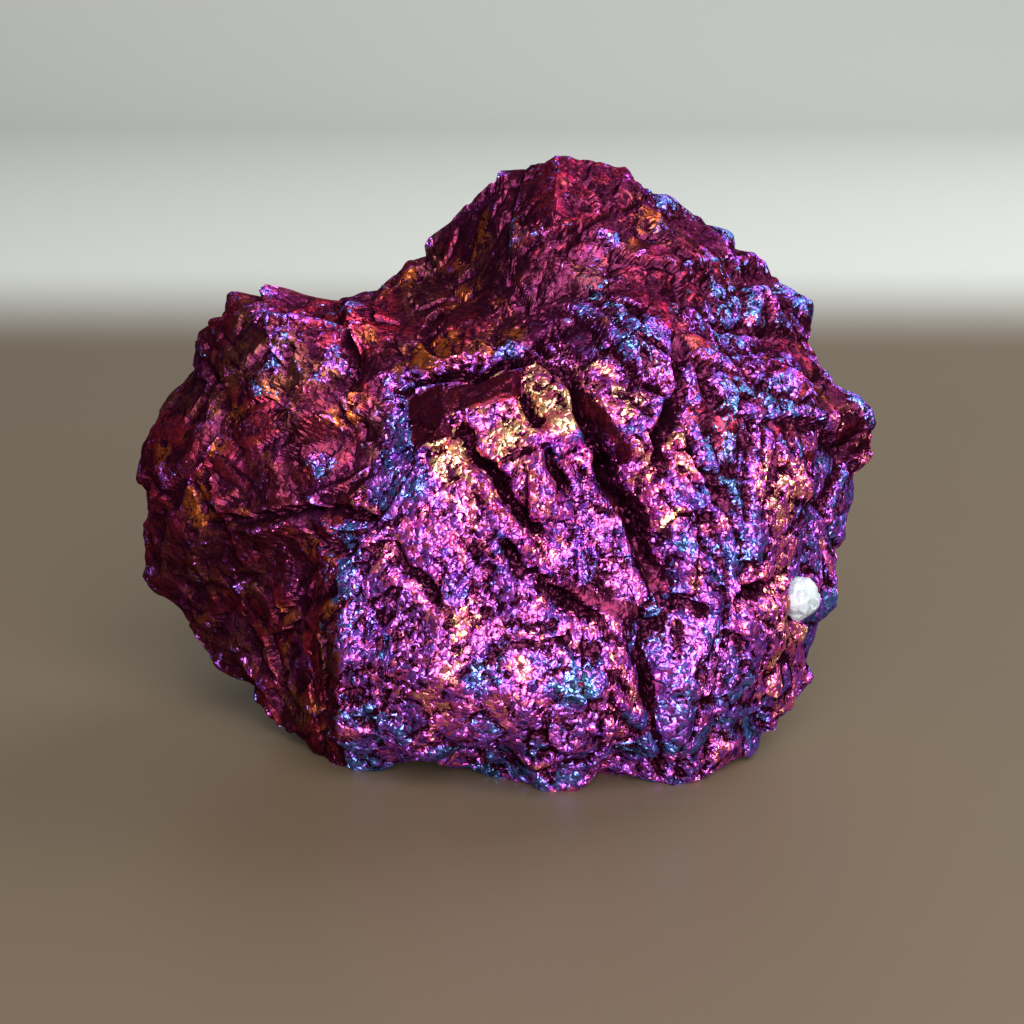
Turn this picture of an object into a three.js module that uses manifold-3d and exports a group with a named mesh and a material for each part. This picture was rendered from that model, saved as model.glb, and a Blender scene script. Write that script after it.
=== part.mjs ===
// Peacock ore: a hand specimen of tarnished copper ore, broken on every side, resting on a flat
// worn foot. Millimetres, X to the right, Y to the back, Z up, the floor at Z = 0.
// The stone is one solid. Its landmarks are the corners of a coarse faceted lump, chipped faces of
// two sizes break up each facet, and crevices run across them. One grain of white quartz sits in a
// socket low on the right side.

import * as THREE from 'three';
import { ConvexHull } from 'three/addons/math/ConvexHull.js';
import { mergeVertices } from 'three/addons/utils/BufferGeometryUtils.js';
import Module from 'manifold-3d';

// Outer size of the stone
const WIDTH = 97;
const DEPTH = 73;
const HEIGHT = 75;

// The point that every part of the surface is seen from, before the stone is centred
const HEART = new THREE.Vector3(0, 2, 36);

// Faces of the broken surface: how wide, and how far they stand out
const BIG_CHIP = 12.5;
const BIG_CHIP_HEIGHT = 2.8;
const SMALL_CHIP = 6.5;
const SMALL_CHIP_HEIGHT = 3.0;

// How wide the slope is that climbs to a crevice's lip
const LIP_SLOPE = 2.2;

// How finely the surface is cut into triangles
const SURFACE_STEPS = 20;

// White quartz grain and its socket
const GRAIN_WIDTH = 6;
const GRAIN_HEIGHT = 5.4;
const GRAIN_THICK = 5.2;
const GRAIN_SINK = 0.3;
const GRAIN_GAP = 0.3;
const GRAIN_PLACE = [37, -10, 20];

// Landmarks of the skyline, from the summit down the left side
const SUMMIT_AND_LEFT_SLOPE = [
  [6.5, 4, 74], [-1.5, 6, 71], [-5, 8, 68], [-11.5, 10, 61], [-17, 8, 57.5], [-21.5, 6, 56.5],
  [-24, 8, 54.5], [-27, 6, 56], [-30, 5, 58], [-33, 4, 56.5], [-35.5, 3, 58],
];
const LEFT_EDGE = [
  [-39, 2, 54], [-40, 2, 49.5], [-44.5, 4, 42], [-47.5, 4, 38], [-49, 4, 32.5], [-48.5, 4, 24.5],
  [-47.5, 4, 19], [-43.5, 4, 12.5], [-41, 2, 9], [-32.5, -4, 4.5], [-27, -10, 0.5],
];

// Landmarks where the front comes down to the floor, from left to right
const FRONT_FEET = [
  [-21.5, -15, -1], [-15.5, -18, 0.5], [-9, -21, 2.5], [-1, -24, 2.5], [4.5, -24.5, -0.5], [9.5, -24, 0.5],
  [14.5, -24, 2.5], [19, -22.5, -0.5], [24, -21.5, -0.5], [28.5, -18, 1], [32, -12, 1.5],
];

// Landmarks of the right edge from the floor up to the summit
const RIGHT_EDGE = [
  [35.5, -8, 5], [37.5, -4, 9], [40.5, -4, 16.5], [41.5, -2, 22.5], [43, 0, 32], [46, 2, 36],
  [47.5, 3, 39.5], [46, 4, 43], [41.5, 4, 45], [38.5, 6, 50], [38, 8, 53.5], [34.5, 8, 56.5],
  [33, 8, 59.5], [28.5, 8, 61.5], [24.5, 8, 65], [22, 8, 66.5], [16.5, 6, 69.5], [11.5, 5, 72.5],
];

// The sharp upright edge between the dark left face and the bright front
const UPRIGHT_EDGE = [
  [-19.5, -14, 42], [-20, -18, 35.5], [-20.5, -20, 31], [-19.5, -23, 24.5], [-19.5, -25, 17.5], [-20, -23, 8],
];
const BRIGHT_FRONT = [
  [-11, -22, 41.5], [-7.5, -20, 45], [-10, -26, 34], [-7.5, -29, 26], [-8.5, -31, 17], [-10, -28, 8.5],
  [1, -26, 37.5], [-1.5, -29, 31], [3.5, -31, 22], [1, -33, 15], [3.5, -31, 7.5], [10.5, -33, 16],
  [10.5, -31, 8.5], [5, -22, 44],
];

// The valley that falls from the middle of the front towards the lower right
const SLANTING_VALLEY = [
  [10.5, -21, 40], [15.5, -23, 29.5], [17.5, -25, 23.5], [15.5, -28, 19.5], [18, -28, 10.5],
];
const UPPER_FRONT = [
  [6, -5, 65.5], [-0.5, -2, 64], [-1, -8, 56], [4, -13, 53], [11, -9, 58.5], [16, -3, 64], [-7.5, 0, 57],
  [-10.5, -5, 53], [-12, -12, 49], [-1.5, -13, 51.5], [-8.5, -19, 43.5], [2, -16, 50],
];
const BLOCK_BY_THE_CLEFT = [
  [-17, -6, 54], [-7.5, -9, 54.5], [-17.5, -13, 47], [-13, -16, 44.5], [-7.5, -14, 50], [-20, -3, 52],
  [-19, -11, 46.5],
];
const LEFT_BLOCK = [
  [-34.5, -3, 56], [-29, -7, 56], [-23.5, -5, 54], [-20.5, -14, 48], [-26.5, -13, 49.5], [-32.5, -9, 48],
  [-36.5, -4, 51.5],
];
const LEFT_SHOULDER = [
  [-36, -5, 45], [-41.5, -2, 42], [-37.5, -8, 38], [-44.5, -2, 35.5], [-42, -5, 27], [-46, 0, 22.5],
  [-33, -10, 37.5], [-26.5, -13, 40], [-31.5, -12, 30], [-23.5, -17, 32.5], [-36, -7, 24.5],
  [-26.5, -13, 22.5], [-41, -1, 17.5], [-32.5, -8, 14.5], [-25.5, -15, 14], [-23, -18, 7], [-28.5, -10, 4],
];
const RIGHT_FACE = [
  [15.5, -15, 55], [10.5, -17, 50.5], [23.5, -6, 58], [31.5, 0, 56], [23, -11, 53.5], [31, -5, 51.5],
  [21.5, -17, 48], [16.5, -22, 44], [21.5, -22, 40.5], [28, -17, 44], [35, -7, 47], [40, -6, 41.5],
  [34.5, -13, 38], [28.5, -20, 36], [21.5, -25, 32.5], [27.5, -23, 28], [36, -13, 29], [35, -13, 21],
  [26.5, -26, 22.5], [22.5, -29, 16], [31, -18, 12.5], [28.5, -20, 6.5], [21.5, -27, 7], [34, -14, 16],
  [22.5, -1, 62], [29, 3, 59],
];
const BACK = [
  [-9, 20, 59], [4, 20, 68], [19, 19, 65], [33, 20, 53.5], [-26, 17, 50], [-38, 14, 46], [3, 32, 55],
  [22, 31, 48], [-16, 30, 45], [-33, 25, 34], [40, 24, 36], [46, 12, 31], [9, 38, 32], [28, 33, 25],
  [-12, 36, 27], [-29, 27, 17], [-44, 15, 22], [38, 22, 14], [13, 34, 13], [-8, 32, 9],
];
const UNDERSIDE = [
  [30, 20, 5], [-20, 22, 6], [-31, 12, 12], [14, 26, -1.5], [-8, 25, -1.5], [26, 10, -2], [-20, 12, -1.5],
  [27, -8, 0.5], [-22, -4, 0], [0, 0, -2], [10, -14, -1.5], [-10, -10, 1.5], [37, -2, 12], [36, 10, 12],
];

// Crevices: the points that each one passes, its half width, its depth, and how far its lip stands up
const CREVICES = [
  { path: [[-6, -20, 45], [-4, -23, 42], [-1, -25, 39], [1, -26, 36], [4, -27, 32]], half: 2.3, deep: 3.4, lip: 1.0 },
  { path: [[-2, -28, 33], [2, -29, 28], [7, -29, 25], [12, -29, 22]], half: 2.1, deep: 2.4, lip: 0.9 },
  { path: [[2, -17, 49], [4, -21, 45], [5, -23, 40], [7, -24, 37]], half: 2.1, deep: 2.6, lip: 0.8 },
  { path: [[5, -15, 52], [8, -17, 49], [10, -22, 44], [13, -22, 38], [16, -23, 31], [19, -25, 24]], half: 2.6, deep: 3.8, lip: 1.6 },
  { path: [[21, -13, 53], [21, -18, 47], [18, -22, 43], [16, -23, 37]], half: 2.3, deep: 3.4, lip: 1.2 },
  { path: [[22, -20, 43], [24, -21, 40], [27, -21, 35]], half: 2.6, deep: 3.8, lip: 1.4 },
  { path: [[34, -16, 23.5], [30, -21, 24], [24, -26, 23], [19, -25, 24]], half: 2.2, deep: 2.4, lip: 0.8 },
  { path: [[19, -25, 23], [16, -28, 19], [17, -28, 13], [19, -22, 0]], half: 2.3, deep: 3.2, lip: 0.9 },
  { path: [[-21, -6, 55], [-20, -8, 52], [-20, -10, 49], [-19, -13, 47]], half: 2.3, deep: 3.4, lip: 1.0 },
  { path: [[4, -14, 53], [-1, -14, 51], [-7, -14, 50], [-13, -13, 48]], half: 2.3, deep: 3.0, lip: 1.4 },
  { path: [[-26, -9, 53], [-29, -10, 52], [-30, -11, 49], [-31, -10, 45]], half: 2.1, deep: 2.2, lip: 0.7 },
  { path: [[-39, -7, 29], [-30, -13, 31], [-21, -18, 34], [-14, -24, 33]], half: 2.1, deep: 1.8, lip: 0.7 },
  { path: [[31, -12, 47], [33, -12, 42], [32, -16, 37]], half: 2.1, deep: 2.4, lip: 0.8 },
  { path: [[23, -7, 58], [27, -6, 54], [37, 3, 50]], half: 2.1, deep: 1.6, lip: 0.8 },
  { path: [[-36, -5, 46], [-38, -6, 40], [-40, -6, 36]], half: 2.1, deep: 1.8, lip: 0.8 },
  { path: [[-22, 24, 48], [-14, 32, 38], [-6, 36, 28], [-4, 33, 14]], half: 2.5, deep: 3.0, lip: 1.6 },
  { path: [[34, 20, 50], [30, 28, 38], [18, 35, 30], [14, 35, 18]], half: 2.5, deep: 3.0, lip: 1.4 },
  { path: [[44, 4, 40], [42, 12, 30], [36, 20, 18]], half: 2.3, deep: 2.4, lip: 1.2 },
];

// Calm places where a cleavage face shows: centre, radius, and the share of the chips that goes
const CALM_PLACES = [
  { at: [-5, -18, 47], radius: 7, share: 0.85 },
  { at: [-1, -17, 49], radius: 5, share: 0.6 },
  { at: [-4, -9, 55], radius: 8, share: 0.55 },
  { at: [-10, 0, 56], radius: 9, share: 0.45 },
  { at: [-16, -11, 49], radius: 6, share: 0.5 },
  { at: [15, -24, 28], radius: 4.5, share: 0.7 },
  { at: [-26, -14, 27], radius: 9, share: 0.35 },
  { at: [-34, -9, 42], radius: 6, share: 0.5 },
  { at: [4, 5, 73], radius: 11, share: 0.3 },
  { at: [-9, -25, 35], radius: 8, share: 0.6 },
  { at: [-4, -31, 17], radius: 12, share: 0.45 },
  { at: [23, -27, 13], radius: 8, share: 0.35 },
];

// Knobs that stand up on the skyline, and dips, whose height is below zero
const KNOBS = [
  { at: [-36.2, 2, 57.2], radius: 2.4, height: 1.8 },
  { at: [-30, 3, 57], radius: 2.8, height: 2.4 },
  { at: [47, 3, 41.5], radius: 5, height: 1.5 },
  { at: [37.5, 6, 53.5], radius: 4, height: 2.4 },
  { at: [31.5, 6, 60], radius: 3.5, height: 0.6 },
  { at: [39.5, 1.5, 46.5], radius: 3, height: 0.9 },
  { at: [21, 6, 67], radius: 2.5, height: 1 },
  { at: [28, 7, 62.5], radius: 4.5, height: 1.9 },
  { at: [41, -3, 19], radius: 7, height: 2.6 },
  { at: [-46, 3, 17], radius: 6, height: 1.3 },
  { at: [-11, 9, 62], radius: 9, height: 0.6 },
  { at: [-3, 6, 70], radius: 6, height: 0.9 },
  { at: [13, 5, 72], radius: 7, height: 0.4 },
  { at: [22, 7, 67.5], radius: 5, height: 1 },
  { at: [25, 8, 65.5], radius: 5, height: 1 },
  { at: [40.5, 4, 48], radius: 5.5, height: 1.9 },
  { at: [-39.5, 2.5, 51], radius: 4, height: 0.8 },
  { at: [1, -24, 2.5], radius: 6, height: -1.8 },
  { at: [-25.5, 7.5, 55.5], radius: 8, height: -3.8 },
  { at: [-33, 4, 57], radius: 3.4, height: -4.5 },
  { at: [-41.5, 3, 46], radius: 5, height: -1.2 },
  { at: [-34, -3, 6], radius: 5, height: -1.2 },
  { at: [-3, -24, 2.5], radius: 6, height: -3.2 },
  { at: [39.5, -6, 10], radius: 6, height: 2 },
  { at: [15, -24, 2], radius: 6, height: -4.4 },
  { at: [36, -8, 6], radius: 6, height: -0.6 },
];

function point(xyz) {
  return new THREE.Vector3(xyz[0], xyz[1], xyz[2]);
}

function clamp(value, low, high) {
  return Math.min(high, Math.max(low, value));
}

// An even number from 0 to 1 that belongs to one cell of a lattice
function scatter(i, j, k, seed) {
  let mix = Math.imul(i, 374761393) ^ Math.imul(j, 668265263);
  mix ^= Math.imul(k, 2246822519) ^ Math.imul(seed, 3266489917);
  mix = Math.imul(mix ^ (mix >>> 15), 2246822519);
  mix = Math.imul(mix ^ (mix >>> 13), 3266489917);
  mix ^= mix >>> 16;
  return (mix >>> 0) / 4294967296;
}

// Smooth unevenness from -1 to 1 that changes over the given size
function unevenness(place, size, seed) {
  const scaled = place.clone().divideScalar(size);
  const cell = scaled.clone().floor();
  const part = scaled.sub(cell).toArray().map((f) => f * f * f * (f * (f * 6 - 15) + 10));
  let sum = 0;
  for (let corner = 0; corner < 8; corner += 1) {
    const step = [corner & 1, (corner >> 1) & 1, (corner >> 2) & 1];
    const weight = step.reduce((all, s, axis) => all * (s ? part[axis] : 1 - part[axis]), 1);
    sum += weight * scatter(cell.x + step[0], cell.y + step[1], cell.z + step[2], seed);
  }
  return sum * 2 - 1;
}

function shift(place, size, seed, far) {
  const x = unevenness(place, size, seed);
  const y = unevenness(place, size, seed + 101);
  const z = unevenness(place, size, seed + 202);
  return new THREE.Vector3(x, y, z).multiplyScalar(far);
}

// Flat-faced chips: each cell holds a tilted pyramid, and the lowest one makes the surface
function chips(place, size, seed) {
  const angle = (degrees) => THREE.MathUtils.degToRad(degrees * seed);
  const turn = new THREE.Euler(angle(17), angle(29), angle(41), 'ZYX');
  const at = place.clone().applyEuler(turn).divideScalar(size);
  let lowest = Infinity;
  for (let near = 0; near < 27; near += 1) {
    const i = Math.floor(at.x) + (near % 3) - 1;
    const j = Math.floor(at.y) + (Math.floor(near / 3) % 3) - 1;
    const k = Math.floor(at.z) + Math.floor(near / 9) - 1;
    const draw = (n) => scatter(i, j, k, seed + n);
    const x = at.x - i - draw(0);
    const y = at.y - j - draw(1);
    const z = at.z - k - draw(2);
    const lean = x * (draw(3) * 2 - 1) + y * (draw(4) * 2 - 1) + z * (draw(5) * 2 - 1);
    const steep = Math.max(Math.abs(x), Math.abs(y), Math.abs(z));
    lowest = Math.min(lowest, 0.45 * draw(6) + 0.55 * lean + 0.75 * steep);
  }
  return lowest - 0.28;
}

// The coarse lump: triangles between neighbouring landmarks, each with the rule for its plane
function lumpFacets(landmarks) {
  const ways = landmarks.map((mark) => mark.clone().sub(HEART).normalize());
  const reach = new Map(ways.map((way, n) => [way, landmarks[n].clone().sub(HEART)]));
  return new ConvexHull().setFromPoints(ways).faces.map((face) => {
    const corners = [face.edge, face.edge.next, face.edge.prev].map((edge) => reach.get(edge.head().point));
    const inverse = new THREE.Matrix3();
    inverse.set(
      corners[0].x, corners[1].x, corners[2].x,
      corners[0].y, corners[1].y, corners[2].y,
      corners[0].z, corners[1].z, corners[2].z,
    );
    return inverse.invert();
  });
}

// How far the lump reaches from its heart along a direction
function lumpReach(facets, way) {
  let best = -Infinity;
  let reach = 0;
  for (const facet of facets) {
    const share = way.clone().applyMatrix3(facet);
    const least = Math.min(share.x, share.y, share.z);
    if (least > best) {
      best = least;
      reach = 1 / (share.x + share.y + share.z);
    }
  }
  return reach;
}

function onLump(facets, place) {
  const way = place.clone().sub(HEART).normalize();
  return way.multiplyScalar(lumpReach(facets, way)).add(HEART);
}

// A crevice is a V-shaped cut that fades at both ends, with a lip raised along one side
function creviceHeight(place, crevice) {
  let gap = Infinity;
  let side = 0;
  let along = 0;
  let passed = 0;
  for (let n = 0; n + 1 < crevice.stops.length; n += 1) {
    const start = crevice.stops[n];
    const run = crevice.stops[n + 1].clone().sub(start);
    const length = run.length();
    const off = place.clone().sub(start);
    const part = clamp(off.dot(run) / (length * length), 0, 1);
    off.addScaledVector(run, -part);
    if (off.length() < gap) {
      gap = off.length();
      const inward = HEART.clone().sub(start).normalize();
      side = off.dot(inward.cross(run)) / length;
      along = passed + part * length;
    }
    passed += length;
  }
  const fade = clamp((Math.min(along, passed - along) / passed) * 5 + 0.35, 0, 1);
  const cut = crevice.deep * clamp(1 - gap / (crevice.half * 1.7), 0, 1);
  const rise = crevice.lip * clamp(1 - gap / (crevice.half * 7), 0, 1) ** 1.5;
  return fade * (rise * clamp(side / LIP_SLOPE, 0, 1) - cut);
}

// Chips, crevices and knobs together: how far the surface stands out from the lump
function relief(place, crevices) {
  const bent = place.clone().add(shift(place, 9, 101, 1.6));
  const bright = clamp((place.x - 0.5 * (place.z - 40) + 6) / 12, 0, 1);
  const hollow = chips(bent, SMALL_CHIP, 11) * SMALL_CHIP_HEIGHT;
  const block = chips(bent, SMALL_CHIP, 51) * -SMALL_CHIP_HEIGHT;
  let height = chips(bent, BIG_CHIP, 1) * BIG_CHIP_HEIGHT + bright * block + (1 - bright) * hollow;
  let left = 1;
  for (const calm of CALM_PLACES) {
    const near = clamp(1.6 - (1.6 * place.distanceTo(point(calm.at))) / calm.radius, 0, 1);
    left = Math.min(left, 1 - calm.share * near);
  }
  height *= left;
  let deepest = 0;
  for (const crevice of crevices) {
    const step = creviceHeight(bent, crevice);
    height += Math.max(step, 0);
    deepest = Math.min(deepest, step);
  }
  for (const knob of KNOBS) {
    height += knob.height * clamp(1 - place.distanceTo(point(knob.at)) / knob.radius, 0, 1);
  }
  return height + deepest;
}

// An evenly triangulated ball of unit directions with shared corners
function evenBall(steps) {
  const ball = new THREE.IcosahedronGeometry(1, steps);
  ball.deleteAttribute('normal');
  ball.deleteAttribute('uv');
  return mergeVertices(ball, 1e-5);
}

function oreGeometry(facets) {
  const crevices = CREVICES.map((crevice) => ({
    ...crevice,
    stops: crevice.path.map((stop) => onLump(facets, point(stop))),
  }));
  const geometry = evenBall(SURFACE_STEPS);
  const corners = geometry.attributes.position;
  for (let n = 0; n < corners.count; n += 1) {
    const way = new THREE.Vector3().fromBufferAttribute(corners, n).normalize();
    const lump = lumpReach(facets, way);
    const place = HEART.clone().addScaledVector(way, lump);
    let reach = lump + relief(place, crevices);
    if (way.z < 0) {
      reach = Math.min(reach, HEART.z / -way.z);
    }
    place.copy(HEART).addScaledVector(way, reach);
    corners.setXYZ(n, place.x, place.y, Math.abs(place.z) < 1e-4 ? 0 : place.z);
  }
  return geometry;
}

// The quartz grain, a blunt lump with broken faces, grown by the margin when it cuts its socket
function grainGeometry(middle, margin) {
  const geometry = evenBall(3);
  const corners = geometry.attributes.position;
  for (let n = 0; n < corners.count; n += 1) {
    const way = new THREE.Vector3().fromBufferAttribute(corners, n);
    const rough = 1 + 0.5 * chips(way.clone().multiplyScalar(2), 2.4, 7);
    way.multiply(new THREE.Vector3(GRAIN_THICK, GRAIN_WIDTH, GRAIN_HEIGHT)).multiplyScalar(0.5 * rough);
    way.setLength(way.length() + margin).add(middle);
    corners.setXYZ(n, way.x, way.y, way.z);
  }
  return geometry;
}

const { Manifold, Mesh } = await Module().then((kernel) => {
  kernel.setup();
  return kernel;
});

function solidOf(geometry) {
  const mesh = new Mesh({
    numProp: 3,
    vertProperties: new Float32Array(geometry.attributes.position.array),
    triVerts: new Uint32Array(geometry.index.array),
  });
  return new Manifold(mesh);
}

function geometryOf(solid) {
  const mesh = solid.getMesh();
  const geometry = new THREE.BufferGeometry();
  geometry.setAttribute('position', new THREE.BufferAttribute(new Float32Array(mesh.vertProperties), 3));
  geometry.setIndex(new THREE.BufferAttribute(new Uint32Array(mesh.triVerts), 1));
  return geometry;
}

// The stone is centred over the origin and brought to its outer size; the grain moves with it
function toOuterSize(ore, others) {
  ore.computeBoundingBox();
  const box = ore.boundingBox;
  const span = box.getSize(new THREE.Vector3());
  const middle = box.getCenter(new THREE.Vector3());
  for (const geometry of [ore, ...others]) {
    geometry.translate(-middle.x, -middle.y, 0);
    geometry.scale(WIDTH / span.x, DEPTH / span.y, HEIGHT / span.z);
  }
}

function namedMesh(name, geometry, material) {
  const flat = geometry.toNonIndexed();
  flat.computeVertexNormals();
  const mesh = new THREE.Mesh(flat, material);
  mesh.name = name;
  return mesh;
}

const landmarks = [
  SUMMIT_AND_LEFT_SLOPE, LEFT_EDGE, FRONT_FEET, RIGHT_EDGE, UPRIGHT_EDGE, BRIGHT_FRONT, SLANTING_VALLEY,
  UPPER_FRONT, BLOCK_BY_THE_CLEFT, LEFT_BLOCK, LEFT_SHOULDER, RIGHT_FACE, BACK, UNDERSIDE,
].flat().map(point);
const facets = lumpFacets(landmarks);
const grainOut = point(GRAIN_PLACE).sub(HEART).normalize();
const grainMiddle = onLump(facets, point(GRAIN_PLACE)).addScaledVector(grainOut, -GRAIN_SINK);

const grain = grainGeometry(grainMiddle, 0);
const socket = solidOf(grainGeometry(grainMiddle, GRAIN_GAP));
const ore = geometryOf(solidOf(oreGeometry(facets)).subtract(socket));
toOuterSize(ore, [grain]);

const oreMaterial = new THREE.MeshStandardMaterial({ color: 0x8a2a78, roughness: 0.35, metalness: 0.85 });
const quartzMaterial = new THREE.MeshStandardMaterial({ color: 0xd9dedd, roughness: 0.35, metalness: 0 });

const specimen = new THREE.Group();
specimen.name = 'peacock_ore';
specimen.add(namedMesh('ore', ore, oreMaterial));
specimen.add(namedMesh('quartz_grain', grain, quartzMaterial));

export default specimen;
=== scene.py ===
"""Peacock ore on a plain floor.

A broken lump of tarnished copper ore and the white quartz grain grown into it, on a pale floor under
soft light. Lengths in the tables are millimetres; meshes are written in metres.
"""

import math

import bmesh
import bpy
import numpy as np
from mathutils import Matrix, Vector
from numpy.linalg import norm


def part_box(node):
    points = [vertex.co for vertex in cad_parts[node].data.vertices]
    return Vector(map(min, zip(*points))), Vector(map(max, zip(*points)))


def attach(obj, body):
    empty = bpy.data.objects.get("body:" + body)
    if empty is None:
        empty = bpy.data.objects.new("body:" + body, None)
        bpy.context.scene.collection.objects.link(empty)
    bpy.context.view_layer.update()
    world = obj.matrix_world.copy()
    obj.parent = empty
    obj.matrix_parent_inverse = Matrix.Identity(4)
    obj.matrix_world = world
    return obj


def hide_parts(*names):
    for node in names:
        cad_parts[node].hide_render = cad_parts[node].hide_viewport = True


bl_info = {
    "name": "Peacock ore",
    "version": (1, 0, 0),
    "blender": (4, 5, 0),
    "location": "View3D > Sidebar > Peacock ore",
    "description": "Builds a hand specimen of peacock ore with its quartz grain, floor, light and camera",
    "category": "Add Mesh",
}

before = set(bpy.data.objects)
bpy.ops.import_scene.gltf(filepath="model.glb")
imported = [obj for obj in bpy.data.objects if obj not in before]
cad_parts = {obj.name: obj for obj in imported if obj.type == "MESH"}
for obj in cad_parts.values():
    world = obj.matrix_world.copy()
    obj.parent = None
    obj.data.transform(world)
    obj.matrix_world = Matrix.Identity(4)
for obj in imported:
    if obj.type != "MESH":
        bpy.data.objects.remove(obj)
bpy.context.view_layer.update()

MM = 0.001

# The point that the whole surface is seen from, before the stone is centred
HEART = np.array([0.0, 2.0, 36.0])

# The ways that blocks and streaks are drawn out on the bright front and on the dark side
UPRIGHT_GRAIN = (0.40, 0.0, -0.92)
STREAK_GRAIN = (0.70, 0.25, 0.66)

# Widths of the leaning plates on the bright and on the dark side, and of the finest chips
BRIGHT_PLATE = 4.2
DARK_PLATE = 3.6
FINE_CHIP = 1.9

# How far a point may stand above its neighbours' mean, and lie below it
PEAK_LIMIT = 0.25
PIT_LIMIT = 0.6

# The socket's size to the grain's, and how near the floor a point is laid flat on it
SOCKET_ROOM = 1.04
FLAT_WITHIN = 0.001

GRAIN_STEPS = 24

# Landmarks of the surface, which the coarse lump's facets join
LANDMARKS = np.array([
    # The skyline from the summit down its left slope
    [6.5, 4, 74], [-1.5, 6, 71], [-5, 8, 68], [-11.5, 10, 61], [-17, 8, 57.5], [-21.5, 6, 56.5],
    [-24, 8, 54.5], [-27, 6, 56], [-30, 5, 58], [-33, 4, 56.5], [-35.5, 3, 58],
    # The left edge, down to the floor
    [-39, 2, 54], [-40, 2, 49.5], [-44.5, 4, 42], [-47.5, 4, 38], [-49, 4, 32.5], [-48.5, 4, 24.5],
    [-47.5, 4, 19], [-43.5, 4, 12.5], [-41, 2, 9], [-32.5, -4, 4.5], [-27, -10, 0.5],
    # Where the front comes down to the floor, from left to right
    [-21.5, -15, -1], [-15.5, -18, 0.5], [-9, -21, 2.5], [-1, -24, 2.5], [4.5, -24.5, -0.5],
    [9.5, -24, 0.5], [14.5, -24, 2.5], [19, -22.5, -0.5], [24, -21.5, -0.5], [28.5, -18, 1], [32, -12, 1.5],
    # The right edge, from the floor up to the summit
    [35.5, -8, 5], [37.5, -4, 9], [40.5, -4, 16.5], [41.5, -2, 22.5], [43, 0, 32], [46, 2, 36],
    [47.5, 3, 39.5], [46, 4, 43], [41.5, 4, 45], [38.5, 6, 50], [38, 8, 53.5], [34.5, 8, 56.5],
    [33, 8, 59.5], [28.5, 8, 61.5], [24.5, 8, 65], [22, 8, 66.5], [16.5, 6, 69.5], [11.5, 5, 72.5],
    # The sharp upright edge between the dark left face and the bright front
    [-19.5, -14, 42], [-20, -18, 35.5], [-20.5, -20, 31], [-19.5, -23, 24.5], [-19.5, -25, 17.5],
    [-20, -23, 8],
    # The bright front
    [-11, -22, 41.5], [-7.5, -20, 45], [-10, -26, 34], [-7.5, -29, 26], [-8.5, -31, 17], [-10, -28, 8.5],
    [1, -26, 37.5], [-1.5, -29, 31], [3.5, -31, 22], [1, -33, 15], [3.5, -31, 7.5], [10.5, -33, 16],
    [10.5, -31, 8.5], [5, -22, 44],
    # The valley that falls from the middle of the front towards the lower right
    [10.5, -21, 40], [15.5, -23, 29.5], [17.5, -25, 23.5], [15.5, -28, 19.5], [18, -28, 10.5],
    # The upper front
    [6, -5, 65.5], [-0.5, -2, 64], [-1, -8, 56], [4, -13, 53], [11, -9, 58.5], [16, -3, 64], [-7.5, 0, 57],
    [-10.5, -5, 53], [-12, -12, 49], [-1.5, -13, 51.5], [-8.5, -19, 43.5], [2, -16, 50],
    # The block by the cleft
    [-17, -6, 54], [-7.5, -9, 54.5], [-17.5, -13, 47], [-13, -16, 44.5], [-7.5, -14, 50], [-20, -3, 52],
    [-19, -11, 46.5],
    # The left block
    [-34.5, -3, 56], [-29, -7, 56], [-23.5, -5, 54], [-20.5, -14, 48], [-26.5, -13, 49.5], [-32.5, -9, 48],
    [-36.5, -4, 51.5],
    # The left shoulder
    [-36, -5, 45], [-41.5, -2, 42], [-37.5, -8, 38], [-44.5, -2, 35.5], [-42, -5, 27], [-46, 0, 22.5],
    [-33, -10, 37.5], [-26.5, -13, 40], [-31.5, -12, 30], [-23.5, -17, 32.5], [-36, -7, 24.5],
    [-26.5, -13, 22.5], [-41, -1, 17.5], [-32.5, -8, 14.5], [-25.5, -15, 14], [-23, -18, 7],
    [-28.5, -10, 4],
    # The right face
    [15.5, -15, 55], [10.5, -17, 50.5], [23.5, -6, 58], [31.5, 0, 56], [23, -11, 53.5], [31, -5, 51.5],
    [21.5, -17, 48], [16.5, -22, 44], [21.5, -22, 40.5], [28, -17, 44], [35, -7, 47], [40, -6, 41.5],
    [34.5, -13, 38], [28.5, -20, 36], [21.5, -25, 32.5], [27.5, -23, 28], [36, -13, 29], [35, -13, 21],
    [26.5, -26, 22.5], [22.5, -29, 16], [31, -18, 12.5], [28.5, -20, 6.5], [21.5, -27, 7], [34, -14, 16],
    [22.5, -1, 62], [29, 3, 59],
    # The back
    [-9, 20, 59], [4, 20, 68], [19, 19, 65], [33, 20, 53.5], [-26, 17, 50], [-38, 14, 46], [3, 32, 55],
    [22, 31, 48], [-16, 30, 45], [-33, 25, 34], [40, 24, 36], [46, 12, 31], [9, 38, 32], [28, 33, 25],
    [-12, 36, 27], [-29, 27, 17], [-44, 15, 22], [38, 22, 14], [13, 34, 13], [-8, 32, 9],
    # The underside
    [30, 20, 5], [-20, 22, 6], [-31, 12, 12], [14, 26, -1.5], [-8, 25, -1.5], [26, 10, -2], [-20, 12, -1.5],
    [27, -8, 0.5], [-22, -4, 0], [0, 0, -2], [10, -14, -1.5], [-10, -10, 1.5], [37, -2, 12], [36, 10, 12],
], float)

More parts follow.
